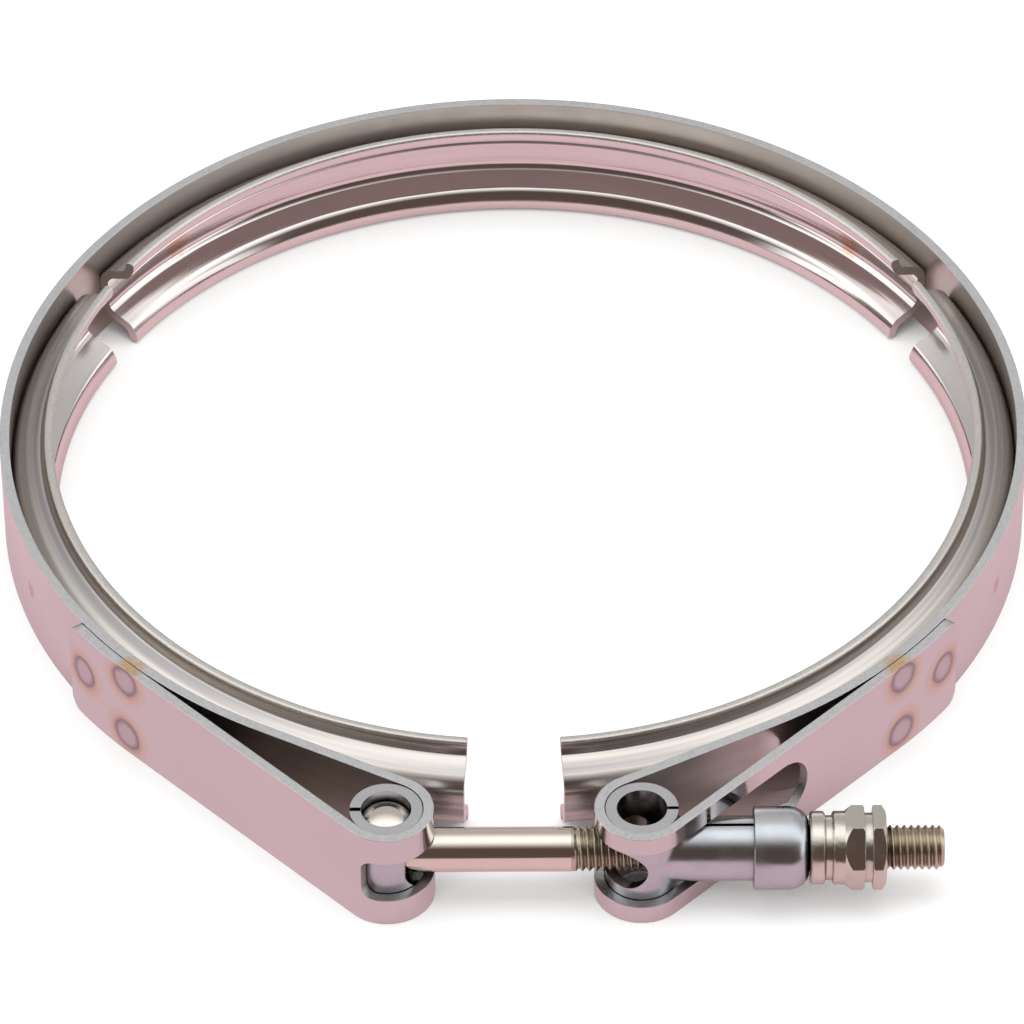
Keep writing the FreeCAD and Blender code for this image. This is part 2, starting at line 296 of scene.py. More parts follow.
def weld_dent(s, z):
    """How far the electrode pressed the strip in, at a point of the tail."""
    dent = 0.0
    for place, height in WELD_PLACES:
        away = math.hypot(s - place, z - height)
        ring = math.exp(-((away - WELD_R) / WELD_RING) ** 2)
        dish = WELD_DISH if away < WELD_R else 0.0
        dent = max(dent, WELD_DEPTH * max(ring, dish * (1 - away / WELD_R) + 0.25 * dish))
    return dent


SHADED_SIDE_FADE = 6.0         # the length along the strip over which the painted shade and roughness change


def shaded_side_share(s, face):
    """1 on the sides that face the ring's channels and the gaps, which are rougher and get
    painted shade, 0 on the polished outside.
    """
    turned = PATH.starts[2] if face == 1 else PATH.starts[1]
    past = min(1.0, max(0.0, (s - turned) / SHADED_SIDE_FADE + 0.5))
    return 1 - past if face == 1 else past


class FlatMesh:
    """A mesh whose points carry their place on the unrolled sheet and their share of painted
    shade and roughness.
    """

    def __init__(self):
        self.bm = bmesh.new()
        self.place_layer = self.bm.loops.layers.uv.new("strip")
        self.shaded_side_layer = self.bm.loops.layers.uv.new("shaded_side")
        self.places = {}
        self.shaded_sides = {}

    def point(self, at, place, shaded_side):
        vert = self.bm.verts.new([value * MM for value in at])
        self.places[vert] = [value * MM for value in place]
        self.shaded_sides[vert] = (shaded_side, 0.0)
        return vert

    def face(self, corners, material):
        made = self.bm.faces.new(corners)
        made.material_index = material
        for loop in made.loops:
            loop[self.place_layer].uv = self.places[loop.vert]
            loop[self.shaded_side_layer].uv = self.shaded_sides[loop.vert]


def strip_grid(flat, slot, side_x, sign, face):
    """Rows of points on one side of the strip, above (sign 1) or below the slot."""
    rows = []
    for s in strip_samples(slot):
        middle, left = PATH.at(s)
        low = slot.half_height(s)
        high = edge_height(s)
        row = []
        for column in range(COLUMNS + 1):
            z = sign * (low + (high - low) * column / COLUMNS)
            shift = face * STRIP_T / 2
            if face == 1:
                shift -= weld_dent(s, z)
            at = middle + left * shift
            row.append(flat.point((side_x * at.x, at.y, z), (s, z), shaded_side_share(s, face)))
        rows.append(row)
    return rows


def strip_mesh(slot, mirror):
    """The half strip as a closed solid, with its unrolled length and height as UV."""
    flat = FlatMesh()
    side_x = -1 if mirror else 1
    places = strip_samples(slot)
    grids = {}
    for sign in (1, -1):
        for face in (1, -1):
            grids[sign, face] = strip_grid(flat, slot, side_x, sign, face)
    for sign in (1, -1):
        inner, outer = grids[sign, 1], grids[sign, -1]
        for n in range(len(places) - 1):
            for rows in (inner, outer):
                for column in range(COLUMNS):
                    flat.face((rows[n][column], rows[n + 1][column],
                               rows[n + 1][column + 1], rows[n][column + 1]), 0)
            flat.face((inner[n][-1], inner[n + 1][-1], outer[n + 1][-1], outer[n][-1]), 1)
            if slot.half_height(places[n]) > 0 or slot.half_height(places[n + 1]) > 0:
                flat.face((inner[n][0], inner[n + 1][0], outer[n + 1][0], outer[n][0]), 1)
        for n in (0, -1):
            for column in range(COLUMNS):
                flat.face((inner[n][column], outer[n][column],
                           outer[n][column + 1], inner[n][column + 1]), 1)
    return flat.bm


# ---------------------------------------------------------------- retainers

def bent_line(points, radii, steps=7):
    """Points along a folded line, its corners rounded to their radii, with normals."""
    line = []
    for before, corner, after, radius in zip(points, points[1:], points[2:], radii):
        came = (corner - before).normalized()
        goes = (after - corner).normalized()
        turn = came.angle_signed(goes) * -1
        reach = radius * math.tan(abs(turn) / 2)
        side = 1 if turn > 0 else -1
        entry = corner - came * reach
        left = Vector((-came.y, came.x)) * side
        centre = entry + left * radius
        for n in range(steps + 1):
            angle = turn * n / steps
            spoke = -left
            spin = Vector((spoke.x * math.cos(angle) - spoke.y * math.sin(angle),
                           spoke.x * math.sin(angle) + spoke.y * math.cos(angle)))
            line.append((centre + spin * radius, -spin * side))
    first = (points[1] - points[0]).normalized()
    last = (points[-1] - points[-2]).normalized()
    start = (points[0], Vector((-first.y, first.x)))
    end = (points[-1], Vector((-last.y, last.x)))
    return [start] + line + [end]


CORNER_STEPS = 5


def rounded_corner(corner, arrive, leave):
    """Points round a right-angled corner, from the way of arriving to that of leaving."""
    centre = corner + (leave - arrive) * LIP_EDGE_R
    points = []
    for n in range(CORNER_STEPS + 1):
        turn = math.radians(90 * n / CORNER_STEPS)
        points.append(centre + (arrive * math.sin(turn) - leave * math.cos(turn)) * LIP_EDGE_R)
    return points


def retainer_outline():
    """The channel's section as (radius, height) points, with a mark of 1 for each point
    that faces the band, where shade is painted, and for each that belongs to a sheared edge."""
    lip_end, lip_bend = RETAINER_LIP[1], RETAINER_LIP[0]
    upper = [Vector(p) for p in (lip_end, lip_bend, RETAINER_NECK, RETAINER_BASE)]
    lower = [Vector((p.x, -p.y)) for p in reversed(upper)]
    radii = [LIP_BEND_R, NECK_BEND_R, BASE_BEND_R]
    line = bent_line(upper + lower, radii + radii[::-1])
    half = RETAINER_T / 2
    outer = [point + normal * half for point, normal in line]
    inner = [point - normal * half for point, normal in reversed(line)]
    outline = []
    facing_band = []
    sheared = []
    corner_points = 2 * (CORNER_STEPS + 1)
    for side, next_side, faces_band in ((outer, inner, 1.0), (inner, outer, 0.0)):
        along = (side[-1] - side[-2]).normalized()
        across = (next_side[0] - side[-1]).normalized()
        outline += side[1:-1]
        facing_band += [faces_band] * (len(side) - 2)
        outline += rounded_corner(side[-1], along, across)
        outline += rounded_corner(next_side[0], across, -along)
        facing_band += [0.0] * corner_points
        sheared += [0] * (len(side) - 2) + [1] * (corner_points - 1) + [0]
    return outline, facing_band, sheared


def retainer_mesh(span):
    """The channel swept round its span, closed at both cut ends."""
    outline, facing_band, sheared = retainer_outline()
    count = math.ceil((span[1] - span[0]) / RETAINER_STEP)
    flat = FlatMesh()
    run = [0.0]
    for a, b in zip(outline, outline[1:]):
        run.append(run[-1] + (b - a).length)
    rows = []
    for n in range(count + 1):
        angle = span[0] + (span[1] - span[0]) * n / count
        row = []
        for (radius, height), along, shaded_side in zip(outline, run, facing_band):
            at = polar(radius, angle)
            place = (math.radians(angle) * BAND_OUTER_R, along)
            row.append(flat.point((at.x, at.y, height), place, shaded_side))
        rows.append(row)
    total = len(outline)
    for n in range(count):
        for m in range(total):
            after = (m + 1) % total
            flat.face((rows[n][m], rows[n + 1][m], rows[n + 1][after], rows[n][after]),
                      sheared[m])
    for row in (rows[0], rows[-1]):
        flat.bm.faces.new(row).material_index = 1
    return flat.bm


# ---------------------------------------------------------------- T-bolt

def round_bolt(x, radius, share):
    """A point about the bolt's axis, at a share of a full turn."""
    turn = 2 * math.pi * share
    return (x * MM, (LOOP_Y + radius * math.cos(turn)) * MM, radius * math.sin(turn) * MM)


def add_ring(bm, x, radius, sides):
    return [bm.verts.new(round_bolt(x, radius, n / sides)) for n in range(sides)]


def join_rings(bm, one, two):
    """A closed strip of faces between two rings."""
    sides = len(one)
    for n in range(sides):
        after = (n + 1) % sides
        bm.faces.new((one[n], one[after], two[after], two[n]))


THREAD_CREST = 0.92
THREAD_ROOT = 0.10


def thread_radius(x, phase):
    """The thread's radius: flanks and a narrow crest, fading at its run-out."""
    triangle = abs(2 * (phase % 1.0) - 1)
    height = min(THREAD_CREST, max(THREAD_ROOT, triangle))
    fade = min(1.0, max(0.0, (x - THREAD_FROM_X) / RUNOUT))
    radius = BOLT_R - THREAD_DEPTH * fade * (THREAD_CREST - height)
    return min(radius, BOLT_R - (x - (BOLT_END_X - END_CHAMFER)))


def thread_rows(bm):
    """The helical grid from the plain shank to the bolt's end."""
    per_turn = THREAD_STEPS_PER_TURN
    step = PITCH / per_turn
    count = math.ceil((BOLT_END_X - THREAD_FROM_X) / step) + per_turn
    rows = []
    for row in range(-per_turn, count + per_turn + 1):
        line = []
        for n in range(SHANK_SIDES):
            share = n / SHANK_SIDES
            x = THREAD_FROM_X + (row + per_turn * share) * step
            held = min(BOLT_END_X, max(THREAD_FROM_X, x))
            radius = thread_radius(held, row / per_turn)
            line.append(bm.verts.new(round_bolt(held, radius, share)))
        rows.append(line)
    faces = []
    for number in range(len(rows) - per_turn - 1):
        this, above = rows[number], rows[number + 1]
        for n in range(SHANK_SIDES - 1):
            faces.append((this[n], this[n + 1], above[n + 1], above[n]))
        faces.append((this[-1], rows[number + per_turn][0],
                      rows[number + per_turn + 1][0], above[-1]))
    for corners in faces:
        bm.faces.new(corners).material_index = 1


def bolt_mesh():
    bm = bmesh.new()
    rings = [add_ring(bm, x, BOLT_R, SHANK_SIDES) for x in (-LOOP_X, 0.0, THREAD_FROM_X)]
    for one, two in zip(rings, rings[1:]):
        join_rings(bm, one, two)
    bm.faces.new(rings[0])
    thread_rows(bm)
    bm.faces.new(add_ring(bm, BOLT_END_X, BOLT_R - END_CHAMFER, SHANK_SIDES))
    add_head(bm)
    return bm


def add_head(bm):
    """The cross-head: a turned pin with domed ends, standing in its sleeve."""
    dome_r = (HEAD_R ** 2 + HEAD_DOME ** 2) / (2 * HEAD_DOME)
    centre = HEAD_HALF - dome_r
    profile = []
    steps = 10
    rim = HEAD_R - HEAD_EDGE
    full = math.asin(rim / dome_r)
    for n in range(steps + 1):
        angle = full * n / steps
        profile.append((dome_r * math.sin(angle), centre + dome_r * math.cos(angle)))
    shoulder = profile[-1][1] - HEAD_EDGE * 0.9
    profile.append((HEAD_R - 0.09, shoulder + 0.35 * HEAD_EDGE))
    profile.append((HEAD_R, shoulder))
    upper = profile[1:]
    lower = [(radius, -z) for radius, z in reversed(upper)]
    rings = []
    for radius, z in upper + lower:
        ring = []
        for n in range(HEAD_SIDES):
            at = polar(radius, 360 * n / HEAD_SIDES, LOOP_CENTRE)
            ring.append(bm.verts.new((at.x * MM, at.y * MM, z * MM)))
        rings.append(ring)
    for one, two in zip(rings, rings[1:]):
        join_rings(bm, one, two)
    for ring, z in ((rings[0], HEAD_HALF), (rings[-1], -HEAD_HALF)):
        tip = bm.verts.new((-LOOP_X * MM, LOOP_Y * MM, z * MM))
        for n in range(HEAD_SIDES):
            bm.faces.new((ring[n], ring[(n + 1) % HEAD_SIDES], tip))


# ---------------------------------------------------------------- saddle cap

def cap_outline():
    """The drawn cup's section as (x, radius) points, its shoulder a quarter of an ellipse."""
    start, end = CAP_X
    outline = [(start, CAP_OUTER_R - CAP_RIM_EDGE), (start + CAP_RIM_EDGE, CAP_OUTER_R)]
    steps = 12
    for n in range(steps + 1):
        turn = math.radians(90 * n / steps)
        outline.append((end - CAP_SHOULDER + CAP_SHOULDER * math.sin(turn),
                        CAP_FLAT_R + (CAP_OUTER_R - CAP_FLAT_R) * math.cos(turn)))
    outline += [(end, CAP_HOLE_R), (end - CAP_END_T, CAP_HOLE_R)]
    outline += [(end - CAP_END_T, CAP_INNER_R), (start, CAP_INNER_R)]
    return outline


def cap_mesh():
    bm = bmesh.new()
    rings = [add_ring(bm, x, radius, CAP_SIDES) for x, radius in cap_outline()]
    for one, two in zip(rings, rings[1:] + rings[:1]):
        join_rings(bm, one, two)
    return bm


# ---------------------------------------------------------------- camera

CAMERA_AT = (0.00252, -1.00686, 0.88623)
CAMERA_AIM = (-0.00025, -0.01478, 0.0)
CAMERA_ROLL = -0.00687
SENSOR = 36.0
LENS = 251.4


def make_camera():
    data = bpy.data.cameras.new("camera")
    data.sensor_width = SENSOR
    data.lens = LENS
    data.clip_end = 50.0
    camera = bpy.data.objects.new("camera", data)
    camera.location = CAMERA_AT
    way = Vector(CAMERA_AIM) - Vector(CAMERA_AT)
    camera.rotation_euler = way.to_track_quat("-Z", "Y").to_euler()
    camera.rotation_euler.rotate_axis("Z", CAMERA_ROLL)
    bpy.context.collection.objects.link(camera)
    bpy.context.scene.camera = camera


# ---------------------------------------------------------------- node helpers

class Nodes:
    """Adds and links the nodes of one material or world."""

    def __init__(self, owner):
        owner.use_nodes = True
        self.tree = owner.node_tree
        self.tree.nodes.clear()

    def add(self, kind, **values):
        node = self.tree.nodes.new("ShaderNode" + kind)
        for name, value in values.items():
            setattr(node, name, value)
        return node

    def put(self, socket, value):
        """Links an output, or sets a constant, on the socket."""
        if isinstance(value, bpy.types.NodeSocket):
            self.tree.links.new(value, socket)
        elif isinstance(value, tuple) and len(value) == 3 and socket.type == "RGBA":
            socket.default_value = (*value, 1)
        else:
            socket.default_value = value

    def math(self, operation, first, second=0.0):
        node = self.add("Math", operation=operation)
        self.put(node.inputs[0], first)
        self.put(node.inputs[1], second)
        return node.outputs[0]

    def smooth(self, value, low, high, to_low=0.0, to_high=1.0):
        """Runs smoothly from to_low at low to to_high at high."""
        node = self.add("MapRange", interpolation_type="SMOOTHSTEP")
        for socket, number in zip(node.inputs, (value, low, high, to_low, to_high)):
            self.put(socket, number)
        return node.outputs[0]

    def mix(self, share, first, second, blend="MIX"):
        node = self.add("Mix", data_type="RGBA", blend_type=blend)
        self.put(node.inputs[0], share)
        self.put(node.inputs[6], first)
        self.put(node.inputs[7], second)
        return node.outputs[2]

    def blend_vectors(self, share, first, second):
        node = self.add("Mix", data_type="VECTOR")
        self.put(node.inputs[0], share)
        self.put(node.inputs[4], first)
        self.put(node.inputs[5], second)
        return node.outputs[1]

    def noise(self, vector, scale, detail=2.0, stretch=(1, 1, 1)):
        spread = self.add("Mapping")
        self.put(spread.inputs["Vector"], vector)
        spread.inputs["Scale"].default_value = stretch
        node = self.add("TexNoise")
        self.put(node.inputs["Vector"], spread.outputs[0])
        node.inputs["Scale"].default_value = scale
        node.inputs["Detail"].default_value = detail
        return node.outputs["Fac"]

    def bump(self, height, distance, strength=1.0, normal=None):
        node = self.add("Bump")
        node.inputs["Strength"].default_value = strength
        node.inputs["Distance"].default_value = distance
        self.put(node.inputs["Height"], height)
        if normal is not None:
            self.put(node.inputs["Normal"], normal)
        return node.outputs[0]

    def openness(self, reach):
        """1 in the open, falling towards 0 where surfaces within the reach close it in."""
        node = self.add("AmbientOcclusion", samples=4)
        node.inputs["Distance"].default_value = reach
        return node.outputs["AO"]

    def soft_edges(self, radius):
        node = self.add("Bevel", samples=4)
        node.inputs["Radius"].default_value = radius
        return node.outputs[0]


def steel(colour, roughness, normal, nodes):
    """The closing part of every metal: a Principled shader and the output."""
    shader = nodes.add("BsdfPrincipled")
    nodes.put(shader.inputs["Base Color"], colour)
    shader.inputs["Metallic"].default_value = 1.0
    nodes.put(shader.inputs["Roughness"], roughness)
    nodes.put(shader.inputs["Normal"], normal)
    out = nodes.add("OutputMaterial")
    nodes.put(out.inputs["Surface"], shader.outputs[0])


def new_material(name):
    material = bpy.data.materials.new(name)
    return material, Nodes(material)


# ---------------------------------------------------------------- metals

POLISHED_STRIP = ((0.77, 0.73, 0.75), (0.71, 0.68, 0.69))
# painted shade: darker tones for the strip's sides that face the band and the gaps
SHADED_STRIP = ((0.50, 0.46, 0.43), (0.74, 0.69, 0.65))
POLISHED_CHANNEL = ((0.92, 0.86, 0.83), (0.80, 0.75, 0.74))
# painted shade: darker tones for the channel's side that faces the band
SHADED_CHANNEL = ((0.80, 0.75, 0.70), (0.46, 0.44, 0.44))
CUT_EDGE = ((0.66, 0.65, 0.66), (0.90, 0.89, 0.90))
CUT_LIP = ((0.64, 0.61, 0.57), (0.95, 0.92, 0.87))
CUT_FACE = ((0.50, 0.49, 0.50), (0.76, 0.75, 0.76))
BOLT_TONES = ((0.90, 0.81, 0.73), (0.84, 0.76, 0.68))
THREAD_TONES = ((0.66, 0.59, 0.47), (0.56, 0.49, 0.38))
FORMED_TONES = ((0.66, 0.69, 0.73), (0.54, 0.57, 0.62))
NUT_TONES = ((0.82, 0.78, 0.70), (0.73, 0.69, 0.61))
# painted shade: the near-black tone of nooks, and how far away a surface still closes a spot in
PAINTED_SHADE_TONE = (0.06, 0.045, 0.04)
PAINTED_SHADE_REACH = 0.012

SMEAR_TINT = (0.80, 0.40, 0.34)
SMEAR_REACH = 2.2
STRAW_TINT = (1.0, 0.62, 0.22)
STRAW_REACH = 3.8
CHANNEL_TINT = (0.92, 0.62, 0.42)
CHANNEL_REACH = 3.4

# Depths of the fine relief and the width of a softened edge, in metres.
STRIP_WAVES = 0.00005
ROLLING_LINES = 0.000004
SHEARED_GRAIN = 0.00005
CHANNEL_WAVES = 0.00006
DRAW_LINES = 0.000006
SOFT_EDGE = 0.00022
SOFT_FORMED_EDGE = 0.0002

# How far the edges of tints and weld marks wander, and where the back seam ends, in metres.
TINT_WANDER = 0.0024
WELD_WANDER = 0.0012
SEAM_END = (0.0005, 0.001)

# The strip's crossed rolling lines: their spacing in mm and their slope.
HATCH_SPACING = 0.8
HATCH_SLOPE = 0.9


def strip_uv(nodes):
    return nodes.add("UVMap", uv_map="strip").outputs[0]


def shaded_side_mask(nodes):
    """1 on the sides that face the band, the channels and the gaps, where shade is painted."""
    split = nodes.add("SeparateXYZ")
    nodes.put(split.inputs[0], nodes.add("UVMap", uv_map="shaded_side").outputs[0])
    return split.outputs[0]


def object_place(nodes):
    return nodes.add("TexCoord").outputs["Object"]


def spot_distance(nodes, place, centre):
    """Distance from a centre in mm, on the unrolled strip or in space."""
    node = nodes.add("VectorMath", operation="DISTANCE")
    nodes.put(node.inputs[0], place)
    node.inputs[1].default_value = [value * MM for value in (*centre, 0)[:3]]
    return node.outputs["Value"]


def nearest_spot(nodes, place, centres):
    away = spot_distance(nodes, place, centres[0])
    for centre in centres[1:]:
        away = nodes.math("MINIMUM", away, spot_distance(nodes, place, centre))
    return away


def with_tint(nodes, colour, place, centres, reach, tint):
    """A soft-edged uneven patch of tint, of a reach in mm, round each centre."""
    away = nearest_spot(nodes, place, centres)
    wander = nodes.math("SUBTRACT", nodes.noise(place, 700, 3.0), 0.5)
    away = nodes.math("ADD", away, nodes.math("MULTIPLY", wander, TINT_WANDER))
    share = nodes.smooth(away, 0.25 * reach * MM, reach * MM, 0.75, 0.0)
    return nodes.mix(share, colour, nodes.mix(1.0, colour, tint, "MULTIPLY"))


WELD_STOPS = (
    (0.0, (0.84, 0.83, 0.83)),
    (1.9, (0.80, 0.79, 0.79)),
    (2.6, (0.58, 0.53, 0.54)),
    (3.0, (0.42, 0.37, 0.38)),
    (3.35, (0.78, 0.66, 0.58)),
    (4.2, (1.0, 0.88, 0.72)),
    (6.0, (1.0, 1.0, 1.0)),
)


def with_weld_marks(nodes, colour, place, centres):
    """Each spot weld: a greyer centre, a dark ring and a faint straw tint outside it."""
    away = nearest_spot(nodes, place, centres)
    wander = nodes.math("SUBTRACT", nodes.noise(place, 260, 3.0), 0.5)
    away = nodes.math("ADD", away, nodes.math("MULTIPLY", wander, WELD_WANDER))
    ring = nodes.add("ValToRGB")
    reach = WELD_STOPS[-1][0]
    nodes.put(ring.inputs[0], nodes.math("DIVIDE", away, reach * MM))
    set_stops(ring, [(far / reach, tint) for far, tint in WELD_STOPS])
    return nodes.mix(1.0, colour, ring.outputs[0], "MULTIPLY")


def set_stops(ramp, stops):
    elements = ramp.color_ramp.elements
    while len(elements) < len(stops):
        elements.new(1.0)
    for element, (place, colour) in zip(elements, stops):
        element.position = place
        element.color = (*colour, 1)


def hatch(nodes, place, slope):
    """Fine parallel rolling lines across the unrolled strip, sloping one way."""
    split = nodes.add("SeparateXYZ")
    nodes.put(split.inputs[0], place)
    across = nodes.math("ADD", split.outputs[0], nodes.math("MULTIPLY", split.outputs[1], slope))
    half = HATCH_SPACING * MM / 2
    wave = nodes.math("PINGPONG", nodes.math("ADD", across, 1.0), half)
    return nodes.math("DIVIDE", wave, half)


def band_steel():
    """Rolled strip: bright, faintly cross-hatched, tinted where it was spot-welded."""
    material, nodes = new_material("band_steel")
    place = strip_uv(nodes)
    cloud = nodes.noise(place, 60, 3.0)
    colour = nodes.mix(cloud, *POLISHED_STRIP)
    colour = with_weld_marks(nodes, colour, place, WELD_PLACES)
    colour = with_tint(nodes, colour, place, SMEARS, SMEAR_REACH, SMEAR_TINT)
    shaded_side = shaded_side_mask(nodes)
    streak = nodes.noise(place, 300, 3.0, (0.05, 1, 1))
    # painted shade: the sides facing the band and the gaps take darker streaked tones
    colour = nodes.mix(shaded_side, colour, nodes.mix(streak, *SHADED_STRIP))
    lines = nodes.noise(place, 900, 2.0, (0.03, 1, 1))
    weave = nodes.math("ADD", hatch(nodes, place, HATCH_SLOPE), hatch(nodes, place, -HATCH_SLOPE))
    height = nodes.math("ADD", nodes.math("MULTIPLY", weave, 0.5), lines)
    split = nodes.add("SeparateXYZ")
    nodes.put(split.inputs[0], place)
    past_seam = nodes.smooth(split.outputs[0], *SEAM_END)
    plain = nodes.add("NewGeometry").outputs["Normal"]
    base = nodes.blend_vectors(past_seam, plain, nodes.soft_edges(SOFT_EDGE))
    normal = nodes.bump(nodes.noise(place, 110, 1.0), STRIP_WAVES, 1.0, base)
    normal = nodes.bump(height, ROLLING_LINES, 1.0, normal)
    rough = nodes.smooth(nodes.noise(place, 180, 3.0), 0.25, 0.75, 0.055, 0.12)
    rough = nodes.math("ADD", rough, nodes.math("MULTIPLY", shaded_side, 0.24))
    steel(colour, rough, normal, nodes)
    return material


def cut_steel(name, tones):
    """Sheared edges: paler, rough and finely speckled."""
    material, nodes = new_material(name)
    place = object_place(nodes)
    speck = nodes.noise(place, 2600, 4.0)
    colour = nodes.mix(speck, *tones)
    heated = [(*polar(BAND_OUTER_R + 1, angle), STRIP_HALF) for angle in HEATED_EDGES]
    colour = with_tint(nodes, colour, place, heated, STRAW_REACH, STRAW_TINT)
    rough = nodes.smooth(speck, 0.3, 0.7, 0.30, 0.48)
    normal = nodes.bump(speck, SHEARED_GRAIN, 0.5, nodes.soft_edges(SOFT_EDGE))
    steel(colour, rough, normal, nodes)
    return material


def retainer_steel():
    """Drawn channel sheet: long polished draw lines and soft colour streaks."""
    material, nodes = new_material("retainer_steel")
    place = strip_uv(nodes)
    streak = nodes.noise(place, 420, 3.0, (0.04, 1, 1))
    cloud = nodes.noise(place, 90, 3.0, (0.35, 1, 1))
    colour = nodes.mix(cloud, *POLISHED_CHANNEL)
    shaded_side = shaded_side_mask(nodes)
    draw = nodes.smooth(nodes.noise(place, 520, 2.0, (0.012, 1, 1)), 0.35, 0.65)
    # painted shade: the side facing the band takes darker drawn tones
    colour = nodes.mix(shaded_side, colour, nodes.mix(draw, *SHADED_CHANNEL))
    welds = [(*polar(RETAINER_BASE[0] - RETAINER_T / 2, angle), z) for angle, z in CHANNEL_WELDS]
    colour = with_tint(nodes, colour, object_place(nodes), welds, CHANNEL_REACH, CHANNEL_TINT)
    fine = nodes.noise(place, 2400, 2.0, (0.02, 1, 1))
    normal = nodes.bump(streak, CHANNEL_WAVES, 1.0)
    normal = nodes.bump(fine, DRAW_LINES, 1.0, normal)
    rough = nodes.smooth(streak, 0.3, 0.7, 0.08, 0.18)
    rough = nodes.math("ADD", rough, nodes.math("MULTIPLY", shaded_side, 0.16))
    steel(colour, rough, normal, nodes)
    return material


def formed_steel(name, tones, low, high, dent=0.0, cut_faces=False):
    """Formed or turned steel with painted shade in its nooks, dented by dent mm, its sheared end
    faces rough if it has any.
    """
    material, nodes = new_material(name)
    place = object_place(nodes)
    cloud = nodes.noise(place, 240, 3.0)
    speck = nodes.noise(place, 2600, 4.0)
    fine = nodes.noise(place, 1500, 2.0, (0.08, 1, 1))
    # painted shade: the colour darkens towards near-black where nearby surfaces close a spot in
    painted_shade = nodes.smooth(nodes.openness(PAINTED_SHADE_REACH), 0.08, 0.55, 0.85, 0.0)
    colour = nodes.mix(painted_shade, nodes.mix(cloud, *tones), PAINTED_SHADE_TONE)
    rough = nodes.smooth(cloud, 0.3, 0.7, low, high)
    if cut_faces:
        split = nodes.add("SeparateXYZ")
        nodes.put(split.inputs[0], nodes.add("TexCoord").outputs["Normal"])
        flat = nodes.smooth(nodes.math("ABSOLUTE", split.outputs[2]), 0.97, 0.995)
        colour = nodes.mix(flat, colour, nodes.mix(speck, *CUT_FACE))
        rough = nodes.math("ADD", rough, nodes.math("MULTIPLY", flat, 0.25))
    dents = nodes.noise(place, 620, 2.0)
    normal = nodes.bump(dents, dent * MM, 1.0, nodes.soft_edges(SOFT_FORMED_EDGE))
    normal = nodes.bump(fine, DRAW_LINES, 0.6, normal)
    steel(colour, rough, normal, nodes)
    return material


# ---------------------------------------------------------------- studio

# Three plain tones of the studio, and the shares of a half turn, from the front horizon
# over the top to the back one, between which one passes softly into the next.
FRONT_TONE = (0.10, 0.07, 0.06)
TOP_TONE = (1.30, 1.30, 1.30)
BACK_TONE = (0.50, 0.50, 0.50)
FRONT_TO_TOP = (0.24, 0.50)
TOP_TO_BACK = (0.54, 0.76)
SIDE_PANELS = (1.25, 1.25, 1.25)


def make_world():
    """A plain soft studio: dark in front, bright overhead, grey behind, pale panels aside."""
    world = bpy.data.worlds.new("studio")
    bpy.context.scene.world = world
    nodes = Nodes(world)
    split = nodes.add("SeparateXYZ")
    nodes.put(split.inputs[0], nodes.add("TexCoord").outputs["Generated"])
    across, back, up = split.outputs
    angle = nodes.math("ARCTAN2", up, nodes.math("MULTIPLY", back, -1.0))
    share = nodes.math("MAXIMUM", nodes.math("DIVIDE", angle, math.pi), 0.0)
    colour = nodes.mix(nodes.smooth(share, *FRONT_TO_TOP), FRONT_TONE, TOP_TONE)
    colour = nodes.mix(nodes.smooth(share, *TOP_TO_BACK), colour, BACK_TONE)
    aside = nodes.smooth(nodes.math("ABSOLUTE", across), 0.80, 0.92)
    above = nodes.smooth(up, -0.02, 0.04)
    under = nodes.smooth(up, 0.30, 0.50, 1.0, 0.0)
    panel = nodes.math("MULTIPLY", nodes.math("MULTIPLY", aside, above), under)
    colour = nodes.mix(panel, colour, SIDE_PANELS)
    background = nodes.add("Background")
    nodes.put(background.inputs[0], colour)
    out = nodes.add("OutputWorld")
    nodes.put(out.inputs[0], background.outputs[0])


FLOOR_Z = CAD_BOX[0][2]
FLOOR_HALF = 6.0
FLOOR_TONE = (0.90, 0.90, 0.90)
FLOOR_GLOW = 0.45
FLOOR_SHELTER = 0.03

# The floor's tone for mirrored rays: near the clamp, painted shade where sheltered, and far away.
MIRRORED_TONE = (0.77, 0.56, 0.60)
MIRRORED_SHADE = (0.17, 0.130, 0.120)
MIRRORED_FAR = (0.20, 0.18, 0.17)
SECOND_MIRROR_SHADE = 0.85


def make_floor():
    """A plain pale floor: near-white to the camera, a pale pink to mirrored rays."""
    mesh = bpy.data.meshes.new("floor")
    h = FLOOR_HALF
    corners = [(-h, -h, FLOOR_Z), (h, -h, FLOOR_Z), (h, h, FLOOR_Z), (-h, h, FLOOR_Z)]
    mesh.from_pydata(corners, [], [(0, 1, 2, 3)])
    floor = bpy.data.objects.new("floor", mesh)
    bpy.context.collection.objects.link(floor)
    material, nodes = new_material("floor")
    open_share = nodes.openness(FLOOR_SHELTER)
    light_path = nodes.add("LightPath")
    mix = nodes.add("MixShader")
    nodes.put(mix.inputs[0], light_path.outputs["Is Glossy Ray"])
    nodes.put(mix.inputs[1], seen_floor(nodes, open_share))
    nodes.put(mix.inputs[2], mirrored_floor(nodes, open_share, light_path))
    out = nodes.add("OutputMaterial")
    nodes.put(out.inputs["Surface"], mix.outputs[0])
    mesh.materials.append(material)


def seen_floor(nodes, open_share):
    """Near-white and a little luminous, its glow fading beside the clamp as painted shade."""
    seen = nodes.add("BsdfDiffuse")
    nodes.put(seen.inputs["Color"], FLOOR_TONE)
    glow = nodes.add("Emission")
    nodes.put(glow.inputs["Color"], (1, 1, 1))
    # painted shade: the glow fades where the clamp closes the floor in
    nodes.put(glow.inputs["Strength"], nodes.smooth(open_share, 0.05, 0.30, 0.0, FLOOR_GLOW))
    pale = nodes.add("AddShader")
    nodes.put(pale.inputs[0], seen.outputs[0])
    nodes.put(pale.inputs[1], glow.outputs[0])
    return pale.outputs[0]


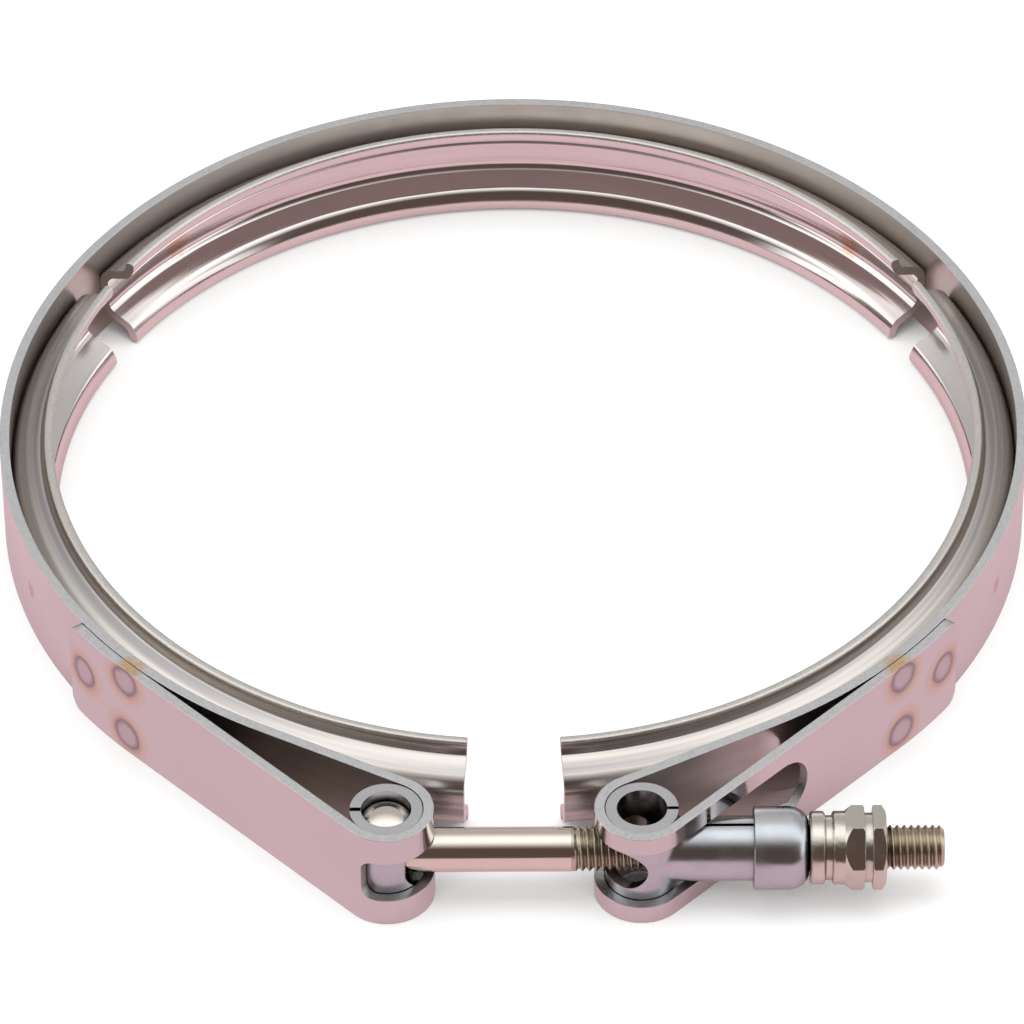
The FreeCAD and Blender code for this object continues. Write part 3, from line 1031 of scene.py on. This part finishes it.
def mirrored_floor(nodes, open_share, light_path):
    """A plain pale pink glow, with painted shade where sheltered and after a second mirroring,
    and darker far away.
    """
    # painted shade: darker where sheltered and after a second mirroring
    shade = nodes.smooth(open_share, 0.16, 0.44, 1.0, 0.0)
    twice = nodes.math("GREATER_THAN", light_path.outputs["Ray Depth"], 1.5)
    shade = nodes.math("MAXIMUM", shade, nodes.math("MULTIPLY", twice, SECOND_MIRROR_SHADE))
    tone = nodes.mix(shade, MIRRORED_TONE, MIRRORED_SHADE)
    reach = nodes.add("VectorMath", operation="LENGTH")
    nodes.put(reach.inputs[0], object_place(nodes))
    far = nodes.smooth(reach.outputs["Value"], 0.17, 0.42)
    mirrored = nodes.add("Emission")
    nodes.put(mirrored.inputs["Color"], nodes.mix(far, tone, MIRRORED_FAR))
    return mirrored.outputs[0]


LAMP_AT = (0, -0.1, 2.0)
LAMP_SIZE = (1.6, 0.8)
LAMP_POWER = 6


def area_light(name, at, size, power):
    data = bpy.data.lights.new(name, "AREA")
    data.shape = "RECTANGLE"
    data.size, data.size_y = size
    data.energy = power
    light = bpy.data.objects.new(name, data)
    light.location = at
    light.visible_glossy = False        # the studio's own light is what the metal mirrors
    light.rotation_euler = (-Vector(at)).to_track_quat("-Z", "Y").to_euler()
    bpy.context.collection.objects.link(light)


# ---------------------------------------------------------------- assembly

def put_strip(cut, rolled):
    """Both halves of the strip, each a fixed mesh from the back of the band to its own tail."""
    bends = {
        "left": (left_slot(), False, "left_arm", 1),
        "right": (right_slot(), True, "right_arm", -1),
    }
    for side, (slot, mirror, arm, sign) in bends.items():
        piece = new_piece("band_" + side, "band_strip", "outer_band")
        fill(piece, strip_mesh(slot, mirror), (rolled, cut))
        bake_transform(piece)


def put_retainers(sheet, cut):
    bodies = {"back": "band_back", "left": "left_arm", "right": "right_arm"}
    for side, span in SPANS.items():
        piece = new_piece("retainer_" + side, "retainer_sheet", "v_retainer_" + side)
        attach(piece, bodies[side])
        fill(piece, retainer_mesh(span), (sheet, cut))


def finish_nodes(looks):
    for node, look in looks.items():
        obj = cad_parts[node]
        obj.data.materials.clear()
        obj.data.materials.append(look)


make_camera()
make_world()
make_floor()
area_light("overhead", LAMP_AT, LAMP_SIZE, LAMP_POWER)

cut = cut_steel("cut_steel", CUT_EDGE)
lip = cut_steel("lip_steel", CUT_LIP)
bolt = formed_steel("bolt_steel", BOLT_TONES, 0.06, 0.11)
thread = formed_steel("thread_steel", THREAD_TONES, 0.22, 0.32)
formed = formed_steel("saddle_steel", FORMED_TONES, 0.19, 0.30, cut_faces=True)
nut = formed_steel("nut_steel", NUT_TONES, 0.14, 0.26, dent=0.06)

put_strip(cut, band_steel())
put_retainers(retainer_steel(), lip)
shank = new_piece("t_bolt_threaded", "bolt_steel", "t_bolt")
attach(shank, "bolt")
fill(shank, bolt_mesh(), (bolt, thread))
cup = new_piece("saddle_cup", "saddle_sheet", "saddle_cap")
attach(cup, "saddle")
fill(cup, cap_mesh(), (formed,))
finish_nodes({"loop_sleeve": formed, "saddle": formed, "thrust_washer": nut, "lock_nut": nut})

bpy.context.scene.view_settings.view_transform = "Standard"
